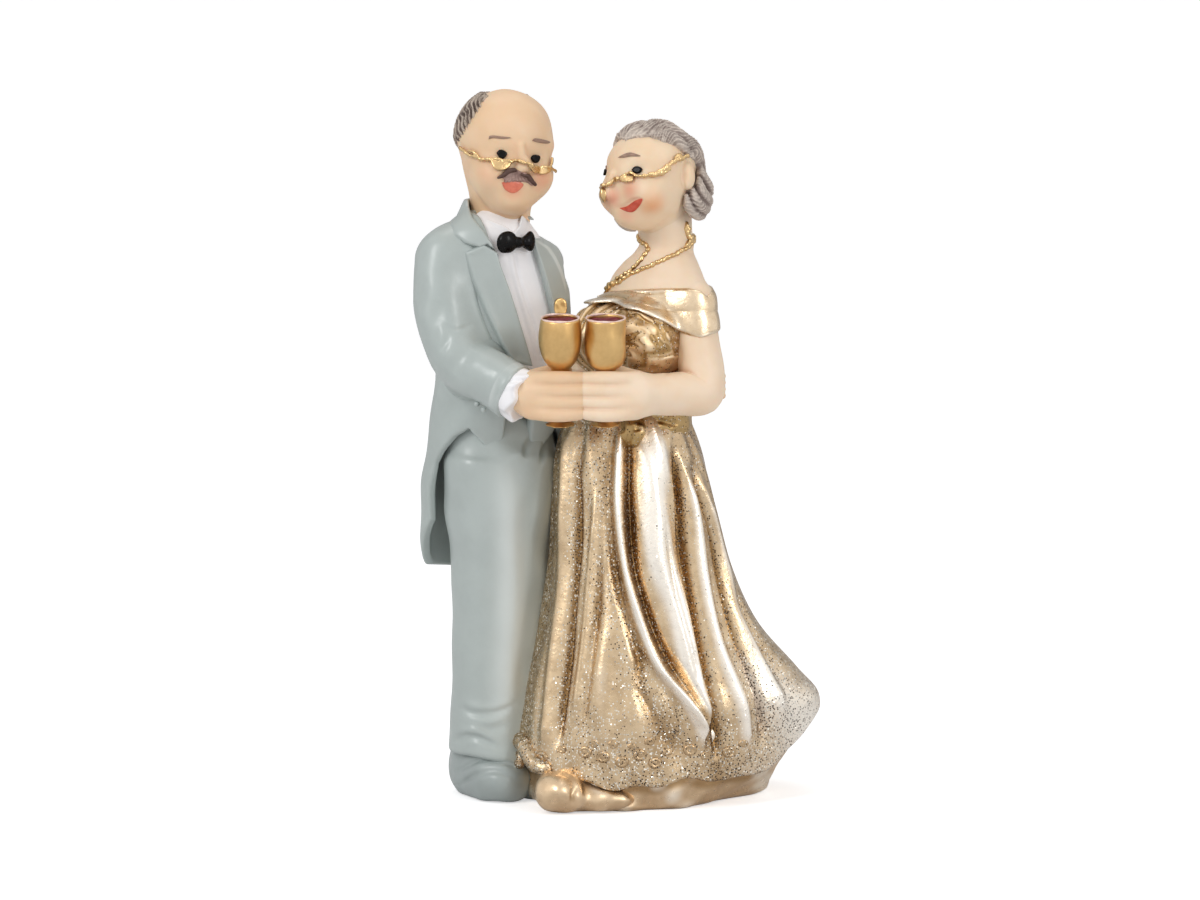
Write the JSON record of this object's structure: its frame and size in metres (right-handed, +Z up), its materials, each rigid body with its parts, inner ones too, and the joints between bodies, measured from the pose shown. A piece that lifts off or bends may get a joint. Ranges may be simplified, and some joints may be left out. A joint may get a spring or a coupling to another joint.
{
  "type": "anniversary cake topper",
  "caption": "Painted resin couple in evening dress, standing close and raising goblets: grey tailcoat suit, gold gown with a short train, flat underside.",
  "frame": {"origin": "on the floor, at the middle of the couple's footprint box", "axes": "+Z up; +X towards the woman, from the viewer's left to right; the couple's front faces -Y"},
  "size_m": [0.0622, 0.0368, 0.1096],
  "materials": {
    "grey_satin": "grey-blue paint on cast resin, satin",
    "white_satin": "white paint on cast resin, satin",
    "black_gloss": "black enamel, glossy",
    "skin": "flesh-toned resin, waxy, blush on the cheeks",
    "grey_hair": "grey paint with darker strands",
    "lips": "coral paint",
    "gold_leaf": "bright gold paint",
    "gold_glitter": "gold paint with glitter flecks",
    "gold_matte": "pearl gold paint, matt",
    "wine": "dark red paint, glossy"
  },
  "bodies": {
    "root": {"man_trousers": "grey_satin", "man_right_shoe": "grey_satin", "man_left_shoe": "grey_satin", "man_tailcoat": "grey_satin", "man_coat_collar": "grey_satin", "man_right_lapel": "grey_satin", "man_left_lapel": "grey_satin", "man_right_sleeve": "grey_satin", "man_left_sleeve": "grey_satin", "man_shirt_front": "white_satin", "man_collar": "white_satin", "man_right_cuff": "white_satin", "man_left_cuff": "white_satin", "man_bow_tie": "black_gloss", "man_boutonniere": "gold_leaf", "man_right_hand": "skin", "man_left_hand": "skin", "man_head": "skin", "man_hair": "grey_hair", "man_moustache": "grey_hair", "man_right_eye": "black_gloss", "man_left_eye": "black_gloss", "man_right_eyebrow": "grey_hair", "man_left_eyebrow": "grey_hair", "man_mouth": "lips", "man_eyeglasses": "gold_leaf", "man_goblet": "gold_leaf", "man_wine": "wine", "woman_skirt": "gold_glitter", "woman_petticoat": "gold_matte", "woman_shoe": "gold_matte", "woman_sash": "gold_matte", "woman_bodice": "gold_glitter", "woman_drape": "gold_leaf", "woman_shoulders": "skin", "woman_left_arm": "skin", "woman_left_hand": "skin", "woman_right_arm": "skin", "woman_right_hand": "skin", "woman_head": "skin", "woman_hair": "grey_hair", "woman_right_eye": "black_gloss", "woman_left_eye": "black_gloss", "woman_right_eyebrow": "grey_hair", "woman_left_eyebrow": "grey_hair", "woman_mouth": "lips", "woman_eyeglasses": "gold_leaf", "woman_necklace": "gold_leaf", "woman_earring": "gold_leaf", "woman_goblet": "gold_leaf", "woman_wine": "wine"}
  },
  "joints": []
}
